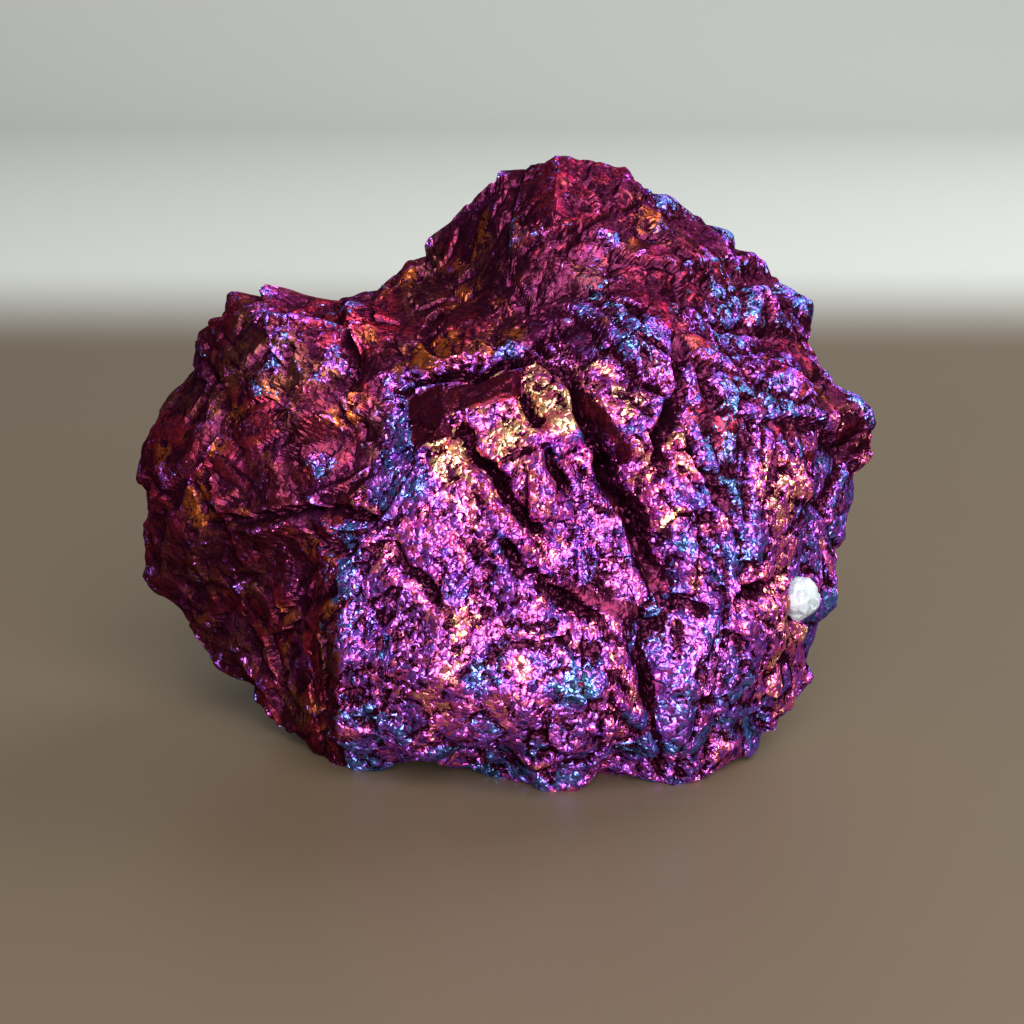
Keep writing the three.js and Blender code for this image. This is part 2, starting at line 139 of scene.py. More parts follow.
# Crevices: the points that each one passes, half width, depth, and how far its lip stands up
CREVICES = [
    ([[-6, -20, 45], [-4, -23, 42], [-1, -25, 39], [1, -26, 36], [4, -27, 32]], 1.2, 3.4, 1.0),
    ([[-2, -28, 33], [2, -29, 28], [7, -29, 25], [12, -29, 22]], 1.0, 2.4, 0.9),
    ([[2, -17, 49], [4, -21, 45], [5, -23, 40], [7, -24, 37]], 1.0, 2.6, 0.8),
    ([[5, -15, 52], [8, -17, 49], [10, -22, 44], [13, -22, 38], [16, -23, 31], [19, -25, 24]], 1.5, 3.8, 1.6),
    ([[21, -13, 53], [21, -18, 47], [18, -22, 43], [16, -23, 37]], 1.2, 3.4, 1.2),
    ([[22, -20, 43], [24, -21, 40], [27, -21, 35]], 1.5, 3.8, 1.4),
    ([[17, -22, 44], [18, -22, 39], [19, -23, 37]], 0.9, 2.4, 0.7),
    ([[34, -16, 23.5], [30, -21, 24], [24, -26, 23], [19, -25, 24]], 1.1, 2.4, 0.8),
    ([[19, -25, 23], [16, -28, 19], [17, -28, 13], [19, -22, 0]], 1.2, 3.2, 0.9),
    ([[-21, -6, 55], [-20, -8, 52], [-20, -10, 49], [-19, -13, 47]], 1.2, 3.4, 1.0),
    ([[4, -14, 53], [-1, -14, 51], [-7, -14, 50], [-13, -13, 48]], 1.2, 3.0, 1.4),
    ([[-26, -9, 53], [-29, -10, 52], [-30, -11, 49], [-31, -10, 45]], 0.9, 2.2, 0.7),
    ([[-39, -7, 29], [-30, -13, 31], [-21, -18, 34], [-14, -24, 33]], 0.9, 1.8, 0.7),
    ([[-14, -24, 32], [-12, -26, 28], [-8, -29, 25]], 0.8, 1.8, 0.5),
    ([[9, -11, 56], [5, -13, 54], [10, -18, 49]], 0.8, 1.6, 0.6),
    ([[31, -12, 47], [33, -12, 42], [32, -16, 37]], 1.0, 2.4, 0.8),
    ([[23, -7, 58], [27, -6, 54], [37, 3, 50]], 0.9, 1.6, 0.8),
    ([[10, -30, 21], [15, -30, 14], [17, -29, 11]], 0.9, 1.8, 0.5),
    ([[-36, -5, 46], [-38, -6, 40], [-40, -6, 36]], 0.9, 1.8, 0.8),
    ([[10, -6, 63], [17, -5, 61], [23, -1, 62]], 0.8, 1.4, 0.7),
    ([[-22, 24, 48], [-14, 32, 38], [-6, 36, 28], [-4, 33, 14]], 1.2, 3.0, 1.6),
    ([[34, 20, 50], [30, 28, 38], [18, 35, 30], [14, 35, 18]], 1.2, 3.0, 1.4),
    ([[44, 4, 40], [42, 12, 30], [36, 20, 18]], 1.0, 2.4, 1.2),
]

# Calm places where a cleavage face shows: centre, radius, and the share of the chips that goes
CALM_PLACES = [
    ([-5, -18, 47], 7.0, 0.85), ([-1, -17, 49], 5.0, 0.6), ([-4, -9, 55], 8.0, 0.55),
    ([-10, 0, 56], 9.0, 0.45), ([-16, -11, 49], 6.0, 0.5), ([15, -24, 28], 4.5, 0.7),
    ([-26, -14, 27], 9.0, 0.35), ([-34, -9, 42], 6.0, 0.5), ([4, 5, 73], 11.0, 0.3),
    ([-9, -25, 35], 8.0, 0.6), ([-4, -31, 17], 12.0, 0.45), ([23, -27, 13], 8.0, 0.35),
]

# Knobs that stand up on the skyline, and dips: centre, radius, and height, below zero for a dip
KNOBS = [
    ([-36.2, 2, 57.2], 2.4, 1.8), ([-30, 3, 57], 2.8, 2.4), ([-26.5, 2, 56], 1.6, 0.8),
    ([-22, 4, 55.5], 1.5, 0.8), ([-4, 7, 69], 1.6, 0.9), ([47, 3, 41.5], 5.0, 1.5),
    ([37.5, 6, 53.5], 4.0, 2.4), ([31.5, 6, 60], 3.5, 0.6), ([39.5, 1.5, 46.5], 3.0, 0.9),
    ([21, 6, 67], 2.5, 1.0), ([28, 7, 62.5], 4.5, 1.9), ([41, -3, 19], 7.0, 2.6),
    ([-46, 3, 17], 6.0, 1.3), ([-11, 9, 62], 9.0, 0.6), ([-3, 6, 70], 6.0, 0.9),
    ([13, 5, 72], 7.0, 0.4), ([22, 7, 67.5], 5.0, 1.0), ([25, 8, 65.5], 5.0, 1.0),
    ([40.5, 4, 48], 5.5, 1.9), ([-39.5, 2.5, 51], 4.0, 0.8), ([1, -24, 2.5], 6.0, -1.8),
    ([-25.5, 7.5, 55.5], 8.0, -3.8), ([-33, 4, 57], 3.4, -4.5), ([-41.5, 3, 46], 5.0, -1.2),
    ([-34, -3, 6], 5.0, -1.2), ([-3, -24, 2.5], 6.0, -3.2), ([39.5, -6, 10], 6.0, 2.0),
    ([15, -24, 2], 6.0, -4.4), ([36, -8, 6], 6.0, -0.6),
]

# Patches of tarnish: places with their radius, by the colour that the film has there
GOLD_PATCHES = [
    [-7, -22, 42, 2.4], [4, -18, 48, 4.2], [1, -21, 44, 2.6], [7, -20, 47, 3.2], [14, -19, 48, 3.0],
    [-1, -16, 49, 2.6], [11, -17, 51, 2.4], [35, -10, 42, 1.8], [21, -24, 34, 1.6],
]
SALMON_PATCHES = [
    [20, -22, 42, 3.9], [33, -15, 35, 3.6], [-6, -23, 41, 2.3], [24, -25, 28, 1.8], [26, -22, 33, 1.6],
    [32, -16, 14, 1.8], [-5, -30, 23, 1.6], [2, -32, 18, 1.8], [5, -29, 26, 1.3], [16, -29, 14, 1.8],
]
PINK_PATCHES = [
    [31, -8, 50, 3.1], [-4, -25, 39, 6.5], [-8, -24, 39, 3.4], [-9, -27, 33, 5.2], [10, -21, 45, 3.1],
    [5, -26, 31, 3.9], [-8, -12, 51, 2.1], [16, -22, 39, 2.6], [21, -20, 43, 3.1],
]
LILAC_PATCHES = [
    [-9, -27, 31, 3.9], [10, -23, 34, 3.4], [1, -30, 25, 3.9], [9, -31, 10, 3.9], [25, -26, 24, 3.1],
    [23, -15, 49, 3.9], [12, -4, 64, 3.9], [7, -7, 62, 3.1], [-15, -26, 23, 3.1], [38, -9, 36, 2.1],
    [-26, -7, 55, 2.6], [-23, -12, 48, 1.6],
]
BLUE_PATCHES = [
    [-19.5, -20.5, 29, 3.4], [-19.5, -21, 26.5, 3.2], [13, -4, 65, 1.8], [15, -15, 55, 4.2],
    [28, -6, 53, 4.7], [36, 5, 55, 2.9], [20, 6, 68, 2.9], [-11, -23, 38, 2.1], [-3, -32, 17, 2.3],
    [22, -25, 31, 2.1], [-24, -15, 38, 1.6], [-20, -10, 49, 1.6], [-30, -9, 51, 1.6], [9, -33, 15, 2.1],
    [24, -24, 7, 2.6], [10, -31, 19, 1.6], [29, -2, 57, 3.9], [33, -10, 46, 2.6],
]
TEAL_PATCHES = [
    [27, -17, 44, 2.3], [9, -33, 16, 2.1], [7, -33, 15, 1.3], [25, -23, 6, 2.3], [10, -22, 44, 1.3],
    [5, -23, 41, 1.0],
]
ORANGE_PATCHES = [
    [-19, -14, 46, 3.4], [-36, -8, 41, 3.1], [-45, -2, 36, 2.6], [-1, -10, 54, 3.9], [-4, 3, 65, 3.4],
    [-16, -26, 11, 3.1], [18, 1, 65, 3.4], [-10, -10, 52, 3.9], [-14, 8, 59, 2.6], [-5, -2, 58, 3.1],
    [-41, -6, 30, 2.6], [-22, -20, 24, 3.1], [-31, -11, 37, 2.3], [-17, -26, 19, 2.6],
]

# Where the film is in each kind of patch, from 0, gold, to 1, teal
FILM_PATCHES = (
    (PINK_PATCHES, 0.34), (LILAC_PATCHES, 0.52), (SALMON_PATCHES, 0.17), (GOLD_PATCHES, 0.03),
    (BLUE_PATCHES, 0.78), (TEAL_PATCHES, 0.95),
)

# Patches of painted shade, dull wine red, in recesses and on the shaded face under the ledge
PAINTED_SHADE_PATCHES = [
    [10, -26, 26, 3.4], [18, -24, 28, 2.6], [13, -28, 23, 3.1], [-2, -29, 31, 1.8], [-10, -16, 47, 3.4],
    [-5, -17, 47, 3.0], [-16, -10, 49, 2.6], [15, -28, 21, 2.3],
]

# Smooth cleavage faces in shade, where the shade is painted dark: middle, direction of the long side, half
# length, half width
SHADED_FACES = [
    ([-5.0, -17.5, 47.6], [1, 0.10, 0.25], 7.2, 1.8),
    ([-9.2, -18, 45.2], [0.45, 0.0, -0.9], 3.6, 2.4),
    ([14.5, -22, 33], [0.48, -0.2, -0.86], 8.0, 0.6),
    ([10.5, -18.5, 45], [0.55, -0.45, -0.70], 6.0, 0.4),
    ([12, -28, 24.5], [0.93, 0.0, -0.36], 5.0, 0.7),
]

# Glinting crust that lies on the dark side
CRUST_PATCHES = [
    [-26, -7, 55, 4.5], [-31, -4, 56, 2.6], [-20, -20, 31, 4.0], [-24, -15, 38, 2.4], [-23, -12, 49, 2.2],
    [-8, -12, 51, 1.8], [8, -6, 63, 5.5], [-8, 2, 60, 2.6], [-28, -13, 31, 1.8], [-24, -18, 26, 2.2],
    [-32, -9, 47, 1.6], [-18, 0, 56, 2.2],
]


def number(name, description, default, unit="NONE"):
    return bpy.props.FloatProperty(name=name, description=description, default=default, unit=unit)


def tint(name, description, default):
    return bpy.props.FloatVectorProperty(
        name=name, description=description, default=default, size=3, min=0, max=1, subtype="COLOR",
    )


class StoneSizes(bpy.types.PropertyGroup):
    """Sizes of the broken surface."""

    surface_steps: bpy.props.IntProperty(
        name="Surface steps", description="Squares along the edge of each of the six patches",
        default=128, min=16, max=128,
    )
    big_chip: number("Big chip", "Width of the largest broken faces", 0.0125, "LENGTH")
    big_chip_height: number("Big chip height", "How far the largest faces stand out", 0.0028, "LENGTH")
    small_chip: number("Small chip", "Width of the middling broken faces", 0.0065, "LENGTH")
    small_chip_height: number("Small chip height", "How far the middling faces stand out", 0.0030, "LENGTH")
    flake: number("Flake", "Width of the crust's flakes, which the finish draws", 0.00024, "LENGTH")
    grain_width: number("Grain width", "Width of the quartz grain", 0.0060, "LENGTH")
    grain_sink: number("Grain sink", "How far the grain's middle lies under the surface", 0.0003, "LENGTH")


class StoneColours(bpy.types.PropertyGroup):
    """Colours of the tarnish film, from thin to thick, and of what lies under and beside it."""

    gold: tint("Gold", "Thinnest film", (1.0, 0.70, 0.36))
    salmon: tint("Salmon", "Second film colour", (0.98, 0.36, 0.26))
    pink: tint("Pink", "Third film colour", (0.90, 0.11, 0.40))
    lilac: tint("Lilac", "Fourth film colour", (0.49, 0.12, 0.74))
    violet: tint("Violet", "Fifth film colour", (0.24, 0.08, 0.56))
    blue: tint("Blue", "Sixth film colour", (0.16, 0.29, 0.86))
    teal: tint("Teal", "Thickest film", (0.08, 0.20, 0.36))
    crimson: tint("Crimson", "Dark side of the stone", (0.40, 0.028, 0.055))
    # Maroon is also the painted shade of the shaded faces, mixed with a little crimson
    maroon: tint("Maroon", "Deepest colour of the dark side", (0.12, 0.016, 0.028))
    plum: tint("Plum", "Purple streaks of the dark side", (0.17, 0.022, 0.13))
    brown: tint("Brown", "Dull zones of the dark side", (0.17, 0.055, 0.035))
    rust: tint("Rust", "Orange brown patches", (0.60, 0.15, 0.028))
    # Wine is painted shade in crevices, gaps and hollows, and also darkens some flakes at random
    wine: tint("Wine", "Crevices and gaps", (0.052, 0.007, 0.026))
    quartz: tint("Quartz", "White grain", (0.42, 0.48, 0.53))


class StageSettings(bpy.types.PropertyGroup):
    """Floor, light and camera."""

    floor_colour: tint("Floor", "Table under the stone", (0.098, 0.073, 0.048))
    wall_colour: tint("Wall", "Backdrop beyond the table", (0.480, 0.495, 0.470))
    key_power: number("Window light", "Power of the large soft light in front", 19.0, "POWER")
    fill_power: number("Skylight", "Power of the soft light above and to the right", 6.5, "POWER")
    low_power: number("Low light", "Power of the low strip of light behind the camera", 3.4, "POWER")
    wall_power: number("Backdrop light", "Power of the light on the backdrop", 1.2, "POWER")
    room_light: number("Room light", "Strength of the light all round", 0.09)
    camera_distance: number("Camera distance", "From the lens to the middle of the stone", 0.315, "LENGTH")
    camera_rise: number("Camera rise", "Angle of the view above the floor", math.radians(15), "ROTATION")


def scatter(i, j, k, seed):
    """An even number from 0 to 1 that belongs to one cell of a lattice: its three counts, stirred."""
    with np.errstate(over="ignore"):
        mix = i.astype(np.uint32) * np.uint32(374761393) ^ j.astype(np.uint32) * np.uint32(668265263)
        mix ^= k.astype(np.uint32) * np.uint32(2246822519) ^ np.uint32((seed * 3266489917) & 0xFFFFFFFF)
        mix = (mix ^ (mix >> np.uint32(15))) * np.uint32(2246822519)
        mix = (mix ^ (mix >> np.uint32(13))) * np.uint32(3266489917)
        mix ^= mix >> np.uint32(16)
    return mix / 4294967296.0


def unevenness(places, size, seed):
    """Smooth unevenness from -1 to 1: the eight corners of each cell hold chance values, blended between."""
    scaled = places / size
    cell = np.floor(scaled)
    part = scaled - cell
    part = part**3 * (part * (part * 6 - 15) + 10)
    cell = cell.astype(np.int64)
    total = np.zeros(len(places))
    for corner in range(8):
        step = [corner & 1, (corner >> 1) & 1, (corner >> 2) & 1]
        weight = np.prod([part[:, n] if step[n] else 1 - part[:, n] for n in range(3)], axis=0)
        total += weight * scatter(cell[:, 0] + step[0], cell[:, 1] + step[1], cell[:, 2] + step[2], seed)
    return total * 2 - 1


def shift(places, size, seed, far):
    """A wandering offset with three independent parts of smooth unevenness."""
    return far * np.stack([unevenness(places, size, seed + extra) for extra in (0, 101, 202)], -1)


def unit_rows(vectors):
    return vectors / norm(vectors, axis=-1, keepdims=True)


def broad_bend(places):
    """The broad wandering that keeps blocks and streaks from running straight."""
    return shift(places, 9, 101, 1.6)


def fine_bend(places):
    """The small wandering that keeps cuts and borders from running straight."""
    return shift(places, 3.2, 401, 0.7)


def squeezed(places, grain, share):
    """Places drawn together along a direction, which draws out what is made from them."""
    grain = np.array(grain) / norm(grain)
    return places - share * (places @ grain)[:, None] * grain


def turn_rows(angles):
    """Rows of the turn about X, then Y, then Z by the three angles in degrees."""
    (cx, sx), (cy, sy), (cz, sz) = [(math.cos(math.radians(a)), math.sin(math.radians(a))) for a in angles]
    about_x = np.array([[1, 0, 0], [0, cx, -sx], [0, sx, cx]])
    about_y = np.array([[cy, 0, sy], [0, 1, 0], [-sy, 0, cy]])
    about_z = np.array([[cz, -sz, 0], [sz, cz, 0], [0, 0, 1]])
    return about_z @ about_y @ about_x


def lattice_cells(places, size, seed, draws):
    """The 27 cells of a turned lattice round each place, one by one: the cell's chance numbers, and the way
    from its point, which the first three of them set, to the place."""
    at = places @ turn_rows((17 * seed, 29 * seed, 41 * seed)).T / size
    cell = np.floor(at).astype(np.int64)
    for near in range(27):
        i = cell[:, 0] + near % 3 - 1
        j = cell[:, 1] + near // 3 % 3 - 1
        k = cell[:, 2] + near // 9 - 1
        draw = [scatter(i, j, k, seed + n) for n in range(draws)]
        yield draw, at - np.stack([i + draw[0], j + draw[1], k + draw[2]], -1)


def leaning(draw, off):
    """Height of a plane through the cell's point, whose slopes along the axes are draws from -1 to 1."""
    return sum(off[:, n] * (draw[3 + n] * 2 - 1) for n in range(3))


def chips(places, size, seed):
    """Flat-faced chips: each cell of a lattice holds a pyramid with a height and a lean of its own, and the
    lowest one counts. Gives the height in parts of the chip's, about zero."""
    lowest = np.full(len(places), 1e9)
    for draw, off in lattice_cells(places, size, seed, 7):
        pyramid = 0.45 * draw[6] + 0.55 * leaning(draw, off) + 0.75 * np.abs(off).max(1)
        lowest = np.minimum(lowest, pyramid)
    return lowest - 0.28


def plates(places, size, seed):
    """Flat plates that meet in steps: each point takes the height and slope of the nearest cell's. Gives the
    height, two chance numbers for each plate, and 1 on its border, falling to 0 inside."""
    nearest, second = np.full((2, len(places)), 1e9)
    height, chance, other = np.zeros((3, len(places)))
    for draw, off in lattice_cells(places, size, seed, 9):
        far = (off**2).sum(1)
        closer = far < nearest
        second = np.where(closer, nearest, np.minimum(second, far))
        nearest = np.where(closer, far, nearest)
        height = np.where(closer, 0.8 * (draw[6] - 0.5) + 1.6 * leaning(draw, off), height)
        chance = np.where(closer, draw[7], chance)
        other = np.where(closer, draw[8], other)
    border = np.clip(1 - (np.sqrt(second) - np.sqrt(nearest)) / 0.24, 0, 1)
    return height, chance, other, border


def bright_plates(places):
    """The plates of the bright side, drawn out upright."""
    upright = squeezed(places + broad_bend(places), UPRIGHT_GRAIN, 0.3)
    return plates(upright + 0.5 * fine_bend(places), BRIGHT_PLATE, 63)


def dark_plates(places):
    """The plates of the dark side, drawn out along its streaks."""
    streaked = squeezed(places + broad_bend(places), STREAK_GRAIN, 0.4)
    return plates(streaked + 0.5 * fine_bend(places), DARK_PLATE, 23)


def cube_patches(steps):
    """Six square patches of directions, each a function of two parameters: tangents of two even angles."""
    angle = np.tan(np.linspace(-math.pi / 4, math.pi / 4, steps + 1))
    a, b = np.meshgrid(angle, angle, indexing="ij")
    one = np.ones_like(a)
    sides = [(one, a, b), (-one, b, a), (b, one, a), (a, -one, b), (a, b, one), (b, a, -one)]
    return unit_rows(np.stack([np.stack(side, -1) for side in sides]))


def weld(patches):
    """Which points of the six patches are the same, and the squares between the points that stay."""
    count = patches.shape[1]
    key = np.round(patches.reshape(-1, 3) * 1e5).astype(np.int64)
    _, first, same = np.unique(key, axis=0, return_index=True, return_inverse=True)
    same = same.reshape(-1)
    i = np.arange(count * count).reshape(count, count)
    square = np.stack([i[:-1, :-1], i[1:, :-1], i[1:, 1:], i[:-1, 1:]], -1).reshape(-1, 4)
    squares = np.concatenate([square + side * count * count for side in range(6)])
    return first, same, same[squares]


def neighbour_mean(values, squares):
    """Mean of each point's neighbours along the edges of the squares."""
    here, there = np.concatenate([squares[:, [n, (n + 1) % 4]] for n in range(4)]).T
    size = len(values)
    count = np.bincount(here, minlength=size) + np.bincount(there, minlength=size)
    total = [
        np.bincount(here, column[there], size) + np.bincount(there, column[here], size)
        for column in values.T
    ]
    return np.stack(total, -1) / count[:, None]


def lump_facets(landmarks):
    """The coarse lump's triangles: landmarks are joined as their directions are on a ball."""
    reach = landmarks - HEART
    ball = bmesh.new()
    for way in unit_rows(reach):
        ball.verts.new(way)
    ball.verts.index_update()
    ball.verts.ensure_lookup_table()
    bmesh.ops.convex_hull(ball, input=ball.verts)
    corners = np.array([[vert.index for vert in face.verts] for face in ball.faces])
    ball.free()
    return np.linalg.inv(reach[corners].transpose(0, 2, 1))


def lump_reach(ways, facets):
    """How far the lump reaches along each direction: the facet whose smallest share is largest holds it."""
    rows = facets.reshape(-1, 3).T
    reach = np.empty(len(ways))
    batch = 16384
    for start in range(0, len(ways), batch):
        share = (ways[start : start + batch] @ rows).reshape(-1, len(facets), 3)
        best = share.min(2).argmax(1)
        reach[start : start + batch] = 1 / share[np.arange(len(best)), best].sum(1)
    return reach


def even_ways(steps, facets, coarse=32, rounds=30):
    """Directions that make even squares on the lump: a coarse grid is eased, then made fine."""
    patches = cube_patches(coarse)
    first, same, squares = weld(patches)
    ways = patches.reshape(-1, 3)[first]
    for _ in range(rounds):
        ways = unit_rows(neighbour_mean(ways * lump_reach(ways, facets)[:, None], squares))
    ways = ways[same].reshape(patches.shape)
    at = np.linspace(0, coarse, steps + 1)
    low = np.minimum(at.astype(int), coarse - 1)
    part = at - low
    rows = ways[:, low] * (1 - part)[:, None, None] + ways[:, low + 1] * part[:, None, None]
    fine = rows[:, :, low] * (1 - part)[:, None] + rows[:, :, low + 1] * part[:, None]
    first, _, squares = weld(cube_patches(steps))
    return unit_rows(fine).reshape(-1, 3)[first], squares


def crevice_height(places, stops, half, deep, lip):
    """A V-shaped cut along a broken line, fading at both ends, with a lip raised along one side."""
    gap = np.full(len(places), 1e9)
    side = np.zeros(len(places))
    along = np.zeros(len(places))
    runs = np.diff(stops, axis=0)
    lengths = norm(runs, axis=1)
    passed = np.concatenate([[0], np.cumsum(lengths)])
    for n, (start, run) in enumerate(zip(stops, runs)):
        part = np.clip((places - start) @ run / lengths[n] ** 2, 0, 1)
        off = places - start - part[:, None] * run
        far = norm(off, axis=1)
        inward = (HEART - start) / norm(HEART - start)
        near = far < gap
        gap = np.where(near, far, gap)
        side = np.where(near, off @ np.cross(inward, run) / lengths[n], side)
        along = np.where(near, passed[n] + part * lengths[n], along)
    fade = np.clip(np.minimum(along, passed[-1] - along) / passed[-1] * 5 + 0.35, 0, 1)
    cut = deep * np.clip(1 - gap / (half * 1.35), 0, 1)
    rise = lip * np.clip(1 - gap / (half * 7), 0, 1) ** 1.5
    return fade * (rise * np.clip(side / 0.6, 0, 1) - cut)


def bright_share(places):
    """1 on the bright crusted front and right, 0 on the dark side: a wedge between two slanting borders."""
    x, _, z = places.T
    ceiling = np.where(x < 4, 47.5 + (x + 19) * 0.26, 53.5 + (x - 4) * 0.95)
    from_edge = (x + 19.5 - 0.4 * np.clip(z - 33, 0, 12)) / 2.5
    under = (ceiling - z) / 3.0
    return np.clip(np.minimum(from_edge, under) + 0.5, 0, 1)


def relief(places, crevices, sizes):
    """How far the surface stands out from the lump: chips of three sizes and leaning plates, fewer where the
    stone is calm, then crevices and knobs. Gives that, and how deep the crevices cut."""
    bend = broad_bend(places)
    small_bend = fine_bend(places)
    bent = places + bend
    big, small = sizes.big_chip / MM, sizes.small_chip / MM
    big_height, small_height = sizes.big_chip_height / MM, sizes.small_chip_height / MM
    plate, _, _, border = bright_plates(places)
    blocks = -small_height * chips(bent, small, 51) + 0.7 * plate - 0.2 * border
    blocks -= 0.3 * chips(squeezed(bent, UPRIGHT_GRAIN, 0.3), FINE_CHIP, 77)
    plate, _, _, border = dark_plates(places)
    hollows = small_height * chips(bent, small, 11) + 0.6 * plate - 0.15 * border
    hollows -= 0.25 * chips(bent, FINE_CHIP, 37)
    bright = np.clip((places[:, 0] - 0.5 * (places[:, 2] - 40) + 6) / 12, 0, 1)
    height = big_height * chips(bent, big, 1) + bright * blocks + (1 - bright) * hollows
    left = np.ones(len(places))
    for at, radius, share in CALM_PLACES:
        far = norm(places + small_bend - at, axis=1)
        left = np.minimum(left, 1 - share * np.clip(1.6 - 1.6 * far / radius, 0, 1))
    height *= left * (1 - 0.85 * shaded_face_share(places + small_bend * 0.5))
    deepest = np.zeros(len(places))
    wandering = places + 0.5 * bend + small_bend
    for stops, half, deep, lip in crevices:
        step = crevice_height(wandering, stops, half, deep, lip)
        height += np.maximum(step, 0)
        deepest = np.minimum(deepest, step)
    for at, radius, rise in KNOBS:
        height += rise * np.clip(1 - norm(places - at, axis=1) / radius, 0, 1)
    return height + deepest, -deepest


def on_lump(places, facets):
    """The places moved along their directions onto the coarse lump."""
    ways = unit_rows(np.array(places, float) - HEART)
    return HEART + ways * lump_reach(ways, facets)[:, None]


def patch_share(places, patches, soft=0.6):
    """How much each place belongs to the nearest patch: 1 inside, 0 outside, with a ragged border."""
    ragged = places + shift(places, 2.4, 911, 1.0) + shift(places, 0.9, 941, 0.4)
    share = np.zeros(len(places))
    for x, y, z, radius in patches:
        far = norm(ragged - (x, y, z), axis=1)
        share = np.maximum(share, np.clip((radius - far) / (soft * radius) + 0.5, 0, 1))
    return share


def shaded_face_share(places):
    """1 on the smooth faces where shade is painted, 0 beside them, with straight borders: slabs across two
    directions.
    """
    share = np.zeros(len(places))
    for middle, way, half_long, half_wide in SHADED_FACES:
        outward = np.array(middle) - HEART
        along = np.array(way, float) - np.dot(way, outward) / (outward @ outward) * outward
        along /= norm(along)
        across = np.cross(outward / norm(outward), along)
        off = places - middle
        near = np.minimum(half_long - np.abs(off @ along), half_wide - np.abs(off @ across))
        near = np.where(norm(off, axis=1) < half_long * 2, near, -9)
        share = np.maximum(share, np.clip(near / 0.5 + 0.5, 0, 1))
    return share


def upper_right(places):
    """0 on most of the stone, rising to 1 towards its upper right, where the film is thicker and darker."""
    return np.clip((places[:, 0] * 0.5 + places[:, 2] - 47) / 18, 0, 1)


def film(places):
    """How far along its colours the film is, from 0, gold, to 1, teal: a middle value, with three sizes of
    unevenness, a draw for each plate and a rise to the upper right, then drawn to each patch's own value."""
    _, chance, _, _ = bright_plates(places)
    value = 0.54 + 0.10 * unevenness(places, 11, 611) + 0.07 * unevenness(places, 4.6, 621)
    value += 0.42 * (chance - 0.5)
    value += 0.10 * unevenness(places, 2.1, 631) + 0.14 * upper_right(places)
    near_floor = np.clip(1 - places[:, 2] / 12, 0, 1)
    value = np.maximum(value + 0.08 * near_floor, 0.30)
    for patches, own in FILM_PATCHES:
        share = patch_share(places, patches, 1.1) * (0.95 + 0.5 * unevenness(places, 1.4, 641))
        share = np.clip(share, 0, 1)
        value = value * (1 - share) + own * share
    return value


def crust_share(places, hollow):
    """How much glinting crust there is: on the bright side, less to its upper right, in the crust's and the
    blue patches, and more on ridges, where its bright film is a painted highlight, and less in hollows, as
    painted shade."""
    ragged = 0.22 * unevenness(places, 3.4, 811) + 0.18 * unevenness(places, 1.3, 801)
    thin = upper_right(places)
    crust = np.maximum(bright_share(places) * (1 - 0.50 * thin), patch_share(places, CRUST_PATCHES) * 0.30)
    # Painted highlight on ridges and painted shade in hollows: the crust follows how far the surface stands
    # out
    crust += ragged - 0.25 * hollow
    crust -= 0.5 * thin * np.clip(0.3 + 2.2 * unevenness(places, 4.5, 841), 0, 1)
    # Painted highlight again on the ridges of the dark side, and painted shade in its hollows
    crust = np.maximum(crust, -0.02 + 0.9 * ragged - 0.45 * hollow)
    return np.maximum(crust, 0.9 * patch_share(places, BLUE_PATCHES))


def painted_shade_share(places, hollow, crease, cut):
    """How much of the surface is painted dark wine: as painted shade in hollows, creases and crevices, on the
    borders of plates and in the painted shade patches; also darker to the right and the upper right, less in
    the pink patches, and uneven between."""
    gap = 0.30 * np.clip(hollow / 0.6, -0.5, 1.2) + 0.30 * np.clip(crease / 0.12, -1, 1.5)
    gap += 0.20 * unevenness(places, 1.3, 801) - 0.06 + 0.12 * unevenness(places, 2.9, 821)
    gap += 0.22 * upper_right(places) + 0.07 * np.clip(places[:, 0] / 12 - 0.8, 0, 1)
    gap -= 0.14 * patch_share(places, PINK_PATCHES, 1.2)
    _, _, other, border = bright_plates(places)
    gap += 0.30 * (other - 0.55) + 0.30 * border
    return gap + 0.3 * patch_share(places, PAINTED_SHADE_PATCHES, 1.0) + 0.9 * np.clip(cut / 1.2 - 0.35, 0, 1)


def blend(share, a, b):
    share = np.clip(share, 0, 1)[:, None]
    return a * (1 - share) + b * share


def dark_side(places, hollow, colours):
    """Colour of the dark side: crimson and maroon in long streaks, plum, brown and rust in ragged patches,
    then painted shade: maroon on the smooth shaded faces and wine in hollows."""
    crimson, maroon, rust, plum, brown, wine = (
        np.array(getattr(colours, name)) for name in ("crimson", "maroon", "rust", "plum", "brown", "wine")
    )
    streaked = squeezed(places, STREAK_GRAIN, 0.6)
    broad = unevenness(places, 8, 701)
    streaks = unevenness(streaked, 2.6, 711) + 0.6 * unevenness(streaked, 1.2, 721)
    colour = blend(0.5 + 0.9 * streaks + 0.5 * broad, maroon, crimson)
    colour = blend(2.2 * (unevenness(streaked, 4.2, 731) + 0.4 * streaks - 0.25), colour, plum)
    colour = blend(1.6 * (unevenness(places, 5.5, 751) + 0.3 * streaks - 0.05), colour, brown)
    rusty = patch_share(places, ORANGE_PATCHES, 1.2) * 0.75 + 0.45 * unevenness(places, 3.1, 741)
    rusty += 0.35 * streaks + 0.5 * unevenness(places, 1.5, 761)
    colour = blend(2.0 * (rusty - 0.38), colour, rust)
    # Painted shade: the shaded faces darkened to maroon
    colour = blend(0.85 * shaded_face_share(places), colour, 0.35 * maroon + 0.12 * crimson)
    colour = blend(0.2 * upper_right(places), colour, 0.5 * plum)
    # Painted shade: hollows darkened to wine
    return blend(hollow / 0.7, colour, wine)


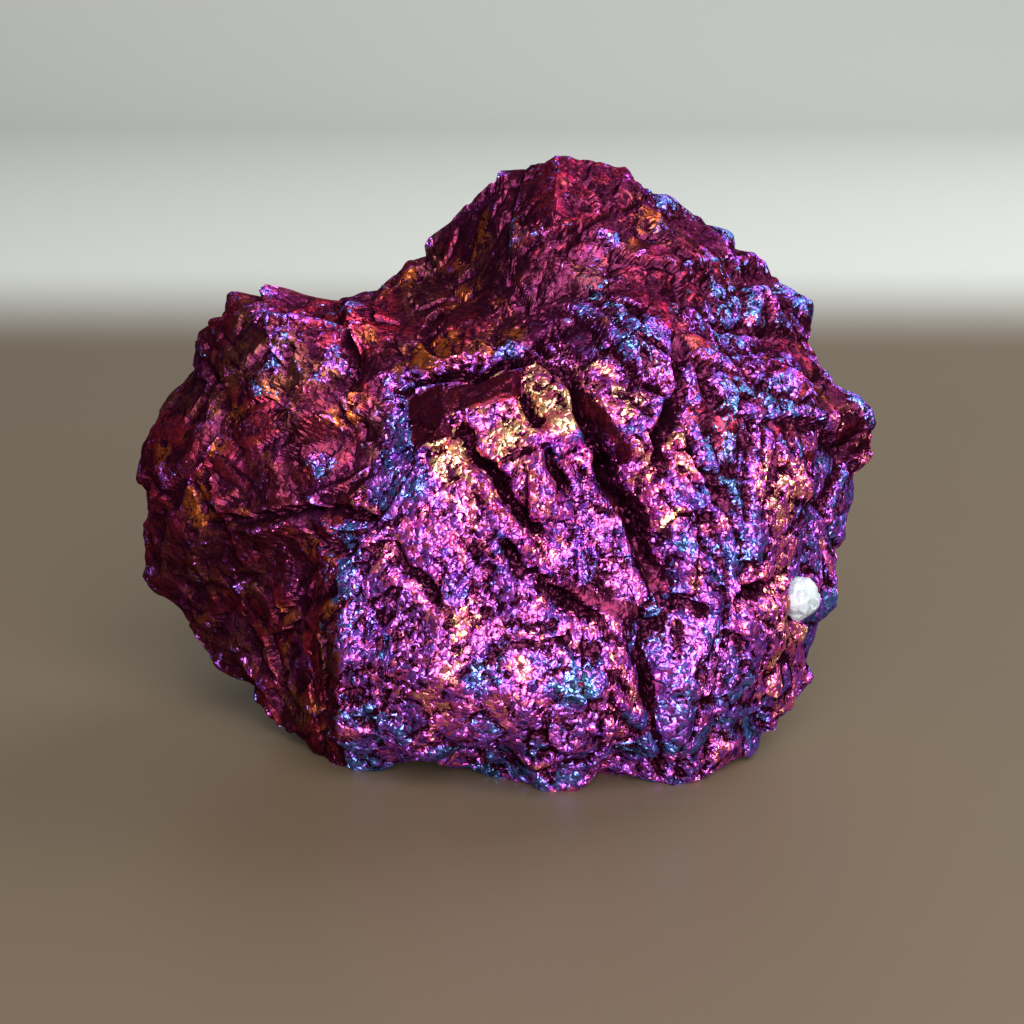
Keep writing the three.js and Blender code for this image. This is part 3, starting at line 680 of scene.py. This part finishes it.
def grain_frame(facets, sizes):
    """The quartz grain's middle and its half sizes, in millimetres."""
    place = on_lump([[37, -10, 20]], facets)[0]
    outward = (place - HEART) / norm(place - HEART)
    middle = place - outward * sizes.grain_sink / MM
    width = sizes.grain_width / MM
    return middle, 0.5 * np.array([0.87 * width, width, 0.90 * width])


def socket_reach(ways, middle, half):
    """How far the stone reaches where the grain sits: to the near side of an egg round it."""
    to_middle = (middle - HEART) / half
    along = ways / half
    a = (along**2).sum(1)
    b = along @ to_middle
    room = b * b - a * ((to_middle**2).sum() - 1)
    return np.where((room > 0) & (b > 0), (b - np.sqrt(np.maximum(room, 0))) / a, np.inf)


def add_object(name, data):
    thing = bpy.data.objects.new(name, data)
    bpy.context.scene.collection.objects.link(thing)
    return thing


def add_piece(name, points, squares, material, node):
    """A closed mesh with small flat faces at the origin, riding on the stone's body in place of its solid."""
    mesh = bpy.data.meshes.new(name)
    mesh.from_pydata(points * MM, [], squares)
    mesh.materials.append(material)
    piece = add_object(name, mesh)
    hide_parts(node)
    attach(piece, "root")
    return piece


def add_values(piece, name, values):
    layer = piece.data.attributes.new(name, "FLOAT", "POINT")
    layer.data.foreach_set("value", values.astype(np.float32))


def add_colours(piece, name, colours):
    layer = piece.data.attributes.new(name, "FLOAT_COLOR", "POINT")
    opaque = np.column_stack([colours, np.ones(len(colours))])
    layer.data.foreach_set("color", opaque.astype(np.float32).ravel())


def set_inputs(tree, node, values):
    """Each input gets its link or its value."""
    for name, value in values.items():
        if isinstance(value, bpy.types.NodeSocket):
            tree.links.new(value, node.inputs[name])
        else:
            node.inputs[name].default_value = value


def add_node(tree, kind, values=None, **settings):
    node = tree.nodes.new("ShaderNode" + kind)
    for name, value in settings.items():
        setattr(node, name, value)
    set_inputs(tree, node, values or {})
    return node


def maths(tree, operation, a, b=0.0):
    return add_node(tree, "Math", {0: a, 1: b}, operation=operation).outputs[0]


def vector_maths(tree, operation, values):
    return add_node(tree, "VectorMath", values, operation=operation).outputs[0]


def scaled(tree, vector, by):
    return vector_maths(tree, "SCALE", {0: vector, "Scale": by})


def between(tree, value, low, high, to_low=0.0, to_high=1.0):
    return add_node(
        tree, "MapRange",
        {"Value": value, "From Min": low, "From Max": high, "To Min": to_low, "To Max": to_high},
    ).outputs[0]


def spread(tree, draw, far):
    """A draw from 0 to 1 as a number from minus far to far."""
    return between(tree, draw, 0, 1, -far, far)


def mix_colours(tree, share, a, b):
    return add_node(tree, "Mix", {0: share, 6: a, 7: b}, data_type="RGBA").outputs[2]


def ramp(tree, value, stops):
    """A colour ramp through (place, colour) stops."""
    node = add_node(tree, "ValToRGB", {0: value})
    elements = node.color_ramp.elements
    while len(elements) < len(stops):
        elements.new(0.5)
    for element, (place, colour) in zip(elements, stops):
        element.position = place
        element.color = (*colour, 1)
    return node.outputs[0]


def noise_value(tree, place, size, detail, roughness):
    values = {"Vector": place, "Scale": 1 / size, "Detail": detail, "Roughness": roughness}
    return add_node(tree, "TexNoise", values).outputs[0]


def flakes(tree, place, size):
    """Flakes: each cell of a chance lattice has one colour, whose parts are three draws, and a middle."""
    cells = add_node(tree, "TexVoronoi", {"Vector": place, "Scale": 1 / size})
    return cells.outputs["Color"], cells.outputs["Position"]


def tilt_of(tree, draws, far):
    """A chance lean for each flake: the three draws about zero, times how far the surface leans."""
    return scaled(tree, vector_maths(tree, "SUBTRACT", {0: draws, 1: (0.5, 0.5, 0.5)}), far)


def new_material(name):
    """A material with its tree of nodes and its shader."""
    material = bpy.data.materials.new(name)
    material.use_nodes = True
    return material, material.node_tree, material.node_tree.nodes["Principled BSDF"]


def place_in_mm(tree):
    """The place on the object, in millimetres."""
    return scaled(tree, add_node(tree, "TexCoord").outputs["Object"], 1 / MM)


def read_attribute(tree, name, part="Fac"):
    return add_node(tree, "Attribute", attribute_name=name).outputs[part]


def crack_lines(tree, bent, gap, draw):
    """1 on dark lines: the borders of long cells, wider where more shade is painted, and the folds of a
    noise.
    """
    drawn_out = add_node(
        tree, "Mapping",
        {"Vector": bent, "Rotation": (0.3, 0.55, 0.2), "Scale": (0.8, 0.8, 2.6)}, vector_type="TEXTURE",
    ).outputs[0]
    edge = add_node(
        tree, "TexVoronoi", {"Vector": drawn_out, "Scale": 0.62}, feature="DISTANCE_TO_EDGE"
    ).outputs["Distance"]
    half_open = between(tree, maths(tree, "ADD", gap, spread(tree, draw, 0.2)), -0.1, 0.9, -0.02, 0.22)
    crack = between(tree, maths(tree, "SUBTRACT", edge, half_open), 0.0, 0.035, 1, 0)
    crinkle = noise_value(tree, bent, 0.9, 2, 0.7)
    fold = maths(tree, "ABSOLUTE", maths(tree, "SUBTRACT", crinkle, 0.5))
    half_fold = between(tree, gap, -0.2, 0.8, 0.006, 0.07)
    fold_line = between(tree, maths(tree, "SUBTRACT", fold, half_fold), 0.0, 0.012, 1, 0)
    return maths(tree, "MAXIMUM", crack, fold_line)


def flake_facing(tree, bent, small, large, large_middle, amount):
    """The surface's normal with the flakes' lean times the amount: a draw for each small and large flake,
    and the way from the large flake's middle, which domes it."""
    lean = vector_maths(tree, "ADD", {0: tilt_of(tree, small, 0.5), 1: tilt_of(tree, large, 0.6)})
    outward = vector_maths(tree, "SUBTRACT", {0: bent, 1: large_middle})
    lean = vector_maths(tree, "MULTIPLY_ADD", {0: outward, 1: (0.8, 0.8, 0.8), 2: lean})
    lean = add_node(
        tree, "VectorTransform", {0: scaled(tree, lean, amount)}, vector_type="VECTOR",
        convert_from="OBJECT", convert_to="WORLD",
    ).outputs[0]
    normal = add_node(tree, "NewGeometry").outputs["Normal"]
    return vector_maths(tree, "NORMALIZE", {0: vector_maths(tree, "ADD", {0: normal, 1: lean})})


def ore_finish(colours, sizes):
    """Metallic tarnish. The film's place, crust, painted shade (the gap attribute) and the dark side's colour
    come from the mesh; each flake draws its own tilt, gloss and small step along the film's colours, and some
    flakes stay dark. The painted shade and the dark crack lines are mixed in as wine."""
    material, tree, shader = new_material("tarnished_ore")
    place = place_in_mm(tree)
    crust = read_attribute(tree, "crust")
    # Painted shade from the mesh, which is mixed to wine below
    gap = read_attribute(tree, "gap")
    wander = add_node(tree, "TexNoise", {"Vector": place, "Scale": 0.9, "Detail": 1}).outputs["Color"]
    bent = vector_maths(tree, "ADD", {0: place, 1: scaled(tree, wander, 1.6)})
    size = sizes.flake / MM
    small, _ = flakes(tree, bent, size)
    large, large_middle = flakes(tree, bent, 3.6 * size)
    small_draw = add_node(tree, "SeparateColor", {0: small}).outputs
    large_draw = add_node(tree, "SeparateColor", {0: large}).outputs

    stray = maths(tree, "ADD", spread(tree, small_draw[0], 0.10), spread(tree, large_draw[1], 0.16))
    film_colour = ramp(tree, maths(tree, "ADD", read_attribute(tree, "film"), stray), [
        (0.02, colours.gold), (0.18, colours.salmon), (0.34, colours.pink), (0.50, colours.lilac),
        (0.66, colours.violet), (0.82, colours.blue), (0.97, colours.teal),
    ])
    wine = (*colours.wine, 1)
    dark_colour = read_attribute(tree, "dark_side", "Color")
    mottled = mix_colours(tree, between(tree, large_draw[0], 0, 1, 0, 0.7), dark_colour, wine)
    chance = maths(tree, "ADD", spread(tree, small_draw[2], 0.22), spread(tree, large_draw[2], 0.25))
    crusted = between(tree, maths(tree, "ADD", crust, chance), 0.46, 0.54)
    # Painted shade: where the gap attribute and chance are high, and on dark crack lines, the colour goes to
    # wine
    shade_and_cracks = between(tree, maths(tree, "ADD", gap, chance), 0.42, 0.60)
    shade_and_cracks = maths(tree, "MAXIMUM", shade_and_cracks, crack_lines(tree, bent, gap, large_draw[0]))
    colour = mix_colours(tree, shade_and_cracks, mix_colours(tree, crusted, mottled, film_colour), wine)
    rough_crust = between(tree, small_draw[1], 0, 1, 0.26, 0.46)
    rough_dark = between(tree, small_draw[1], 0, 1, 0.28, 0.48)
    rough = add_node(tree, "Mix", {0: crusted, 2: rough_dark, 3: rough_crust}).outputs[0]
    lean_amount = between(tree, crusted, 0, 1, 0.42, 1.1)
    set_inputs(tree, shader, {
        "Base Color": colour, "Metallic": 0.92, "Roughness": rough, "Specular Tint": (0.25, 0.10, 0.25, 1),
        "Normal": flake_facing(tree, bent, small, large, large_middle, lean_amount),
    })
    return material


def quartz_finish(colours):
    """Milky quartz: nearly white, a little light passes, cloudy inside, with shallow breaks."""
    material, tree, shader = new_material("milky_quartz")
    place = place_in_mm(tree)
    cloud = noise_value(tree, place, 1.2, 3, 0.6)
    pale = tuple(min(1.0, c * 1.12) for c in colours.quartz)
    colour = mix_colours(tree, between(tree, cloud, 0.35, 0.65), (*colours.quartz, 1), (*pale, 1))
    height = noise_value(tree, place, 0.7, 2, 0.6)
    bump = add_node(tree, "Bump", {"Height": height, "Distance": MM, "Strength": 0.15}).outputs[0]
    set_inputs(tree, shader, {
        "Base Color": colour, "Roughness": between(tree, cloud, 0.3, 0.7, 0.28, 0.5),
        "Transmission Weight": 0.25, "IOR": 1.54, "Normal": bump,
    })
    return material


def fit_to_box(points, low, high):
    """Points stretched a little along each axis, so that their outer box is the given one."""
    span = points.max(0) - points.min(0)
    return (points - points.min(0)) / span * (high - low) + low


def node_box(node):
    low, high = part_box(node)
    return np.array(low) / MM, np.array(high) / MM


class PEACOCKORE_OT_stone(bpy.types.Operator):
    """Build the broken lump of ore with its crevices, chips and tarnish."""

    bl_idname = "peacock_ore.stone"
    bl_label = "Ore"

    def execute(self, context):
        """The surface is how far the stone reaches along each direction, a function of two parameters on six
        patches: the lump's reach and the relief on it, less the grain's socket, and cut off by the floor."""
        sizes = context.scene.stone_sizes
        colours = context.scene.stone_colours
        facets = lump_facets(LANDMARKS)
        ways, squares = even_ways(sizes.surface_steps, facets)
        lump = HEART + ways * lump_reach(ways, facets)[:, None]
        crevices = [(on_lump(path, facets), half, deep, lip) for path, half, deep, lip in CREVICES]
        height, cut = relief(lump, crevices, sizes)
        reach = norm(lump - HEART, axis=1) + height
        middle, half = grain_frame(facets, sizes)
        reach = np.minimum(reach, socket_reach(ways, middle, half * SOCKET_ROOM))
        to_floor = np.where(ways[:, 2] < 0, HEART[2] / np.maximum(-ways[:, 2], 1e-9), np.inf)
        raw = HEART + ways * np.minimum(reach, to_floor)[:, None]
        stand = ((raw - neighbour_mean(raw, squares)) * ways).sum(1)
        raw -= ways * (stand - np.clip(0.88 * stand, -PIT_LIMIT, PEAK_LIMIT))[:, None]

        smooth = raw
        for _ in range(10):
            smooth = neighbour_mean(smooth, squares)
        hollow = ((smooth - raw) * ways).sum(1)
        near = neighbour_mean(neighbour_mean(raw, squares), squares)
        crease = ((near - raw) * ways).sum(1)

        low, high = node_box("ore")
        points = fit_to_box(raw, low, high)
        points[:, 2] = np.where(points[:, 2] < low[2] + FLAT_WITHIN, low[2], points[:, 2])
        piece = add_piece("broken_ore", points, squares, ore_finish(colours, sizes), "ore")
        face = shaded_face_share(lump + shift(lump, 2.2, 861, 0.35))
        add_values(piece, "film", film(lump))
        # Painted shade on the shaded faces: their crust is taken away
        add_values(piece, "crust", crust_share(lump, hollow) * (1 - face) - 0.6 * face)
        # The gap attribute is painted shade: hollows, creases, crevices and plate borders darkened to wine
        add_values(piece, "gap", painted_shade_share(lump, hollow, crease, cut) * (1 - face))
        add_colours(piece, "dark_side", dark_side(lump, hollow, colours))
        return {"FINISHED"}


class PEACOCKORE_OT_quartz_grain(bpy.types.Operator):
    """Build the white quartz grain in its socket."""

    bl_idname = "peacock_ore.quartz_grain"
    bl_label = "Quartz grain"

    def execute(self, context):
        """A ball of directions stretched to the grain's half sizes and chipped, fitted to its solid's box."""
        patches = cube_patches(GRAIN_STEPS)
        first, _, squares = weld(patches)
        ways = patches.reshape(-1, 3)[first]
        rough = 1 + 0.5 * chips(ways * 2, 2.4, 7) + 0.12 * chips(ways * 2, 0.8, 17)
        low, high = node_box("quartz_grain")
        points = fit_to_box(ways * rough[:, None], low, high)
        finish = quartz_finish(context.scene.stone_colours)
        add_piece("quartz_grain_white", points, squares, finish, "quartz_grain")
        return {"FINISHED"}


def aim(thing, place, target):
    thing.location = place
    thing.rotation_euler = (Vector(target) - Vector(place)).to_track_quat("-Z", "Y").to_euler()


def add_area_light(name, place, target, size, power, colour):
    lamp = bpy.data.lights.new(name, "AREA")
    lamp.shape = "RECTANGLE"
    lamp.size, lamp.size_y = size
    lamp.energy = power
    lamp.color = colour
    aim(add_object(name, lamp), place, target)


def floor_finish(floor, wall):
    """Matt: a brown grey table, and beyond its soft far edge a pale backdrop, along the object's Y."""
    material, tree, shader = new_material("plain_floor")
    place = add_node(tree, "TexCoord").outputs["Object"]
    depth = add_node(tree, "SeparateXYZ", {0: place}).outputs[1]
    beyond = add_node(
        tree, "MapRange", {"Value": depth, "From Min": 0.25, "From Max": 0.38},
        interpolation_type="SMOOTHSTEP",
    ).outputs[0]
    colour = mix_colours(tree, beyond, (*floor, 1), (*wall, 1))
    set_inputs(tree, shader, {"Base Color": colour, "Roughness": 0.42, "Specular IOR Level": 0.12})
    return material


class PEACOCKORE_OT_stage(bpy.types.Operator):
    """Lay the floor, hang the lights and set the camera."""

    bl_idname = "peacock_ore.stage"
    bl_label = "Stage"

    def execute(self, context):
        """The floor is a profile carried along X: flat, then a quarter turn up, then a wall."""
        stage = context.scene.stage_settings
        front, back, bend, top, side = -1.2, 0.75, 0.35, 2.2, 2.5
        turn = np.linspace(0, math.pi / 2, 25)[1:]
        profile = np.concatenate([
            [[front, 0], [back, 0]],
            np.stack([back + bend * np.sin(turn), bend * (1 - np.cos(turn))], -1),
            [[back + bend, top]],
        ])
        across = np.array([-side, side])
        points = np.stack(
            [np.repeat(across, len(profile)), np.tile(profile[:, 0], 2), np.tile(profile[:, 1], 2)], -1
        )
        n = np.arange(len(profile) - 1)
        squares = np.stack([n, n + len(profile), n + len(profile) + 1, n + 1], -1)
        mesh = bpy.data.meshes.new("floor")
        mesh.from_pydata(points, [], squares)
        mesh.materials.append(floor_finish(stage.floor_colour, stage.wall_colour))
        mesh.shade_smooth()
        add_object("floor", mesh)

        stone = (0.0, 0.0, 0.035)
        for name, place, target, size, power, colour in (
            ("window", (0.15, -0.68, 0.50), stone, (0.75, 0.80), stage.key_power, (1.0, 0.96, 0.93)),
            ("low light", (0.0, -0.80, 0.16), stone, (0.90, 0.16), stage.low_power, (1.0, 0.97, 1.0)),
            ("skylight", (0.50, 0.42, 0.60), stone, (0.50, 0.50), stage.fill_power, (0.93, 0.97, 1.0)),
            ("backdrop light", (0.0, 0.48, 0.52), (0.0, 0.56, 0.0), (1.4, 0.3), stage.wall_power, (1, 1, 1)),
        ):
            add_area_light(name, place, target, size, power, colour)
        world = bpy.data.worlds.new("room")
        world.use_nodes = True
        light = {"Color": (0.78, 0.80, 0.80, 1), "Strength": stage.room_light}
        set_inputs(world.node_tree, world.node_tree.nodes["Background"], light)
        context.scene.world = world
        context.scene.view_settings.view_transform = "Standard"

        lens = bpy.data.cameras.new("camera")
        lens.lens = 85
        lens.sensor_width = 36
        lens.clip_start = 0.01
        camera = add_object("camera", lens)
        target = Vector((0.0010, -0.0024, 0.0292))
        rise = stage.camera_rise
        far = stage.camera_distance
        aim(camera, target + Vector((0, -far * math.cos(rise), far * math.sin(rise))), target)
        context.scene.camera = camera
        return {"FINISHED"}


class PEACOCKORE_PT_panel(bpy.types.Panel):
    """Sizes, colours and the pieces to build."""

    bl_label = "Peacock ore"
    bl_space_type = "VIEW_3D"
    bl_region_type = "UI"
    bl_category = "Peacock ore"

    def draw(self, context):
        layout = self.layout
        for name in SETTINGS:
            box = layout.box()
            box.label(text=name.replace("_", " ").capitalize())
            settings = getattr(context.scene, name)
            for field in settings.__annotations__:
                box.prop(settings, field)
        for operator in (PEACOCKORE_OT_stone, PEACOCKORE_OT_quartz_grain, PEACOCKORE_OT_stage):
            layout.operator(operator.bl_idname)


CLASSES = (
    StoneSizes, StoneColours, StageSettings, PEACOCKORE_OT_stone, PEACOCKORE_OT_quartz_grain,
    PEACOCKORE_OT_stage, PEACOCKORE_PT_panel,
)
SETTINGS = {"stone_sizes": StoneSizes, "stone_colours": StoneColours, "stage_settings": StageSettings}


def register():
    for item in CLASSES:
        bpy.utils.register_class(item)
    for name, group in SETTINGS.items():
        setattr(bpy.types.Scene, name, bpy.props.PointerProperty(type=group))


def unregister():
    for name in SETTINGS:
        delattr(bpy.types.Scene, name)
    for item in reversed(CLASSES):
        bpy.utils.unregister_class(item)


def main():
    register()
    bpy.ops.peacock_ore.stone()
    bpy.ops.peacock_ore.quartz_grain()
    bpy.ops.peacock_ore.stage()


if __name__ == "__main__":
    main()
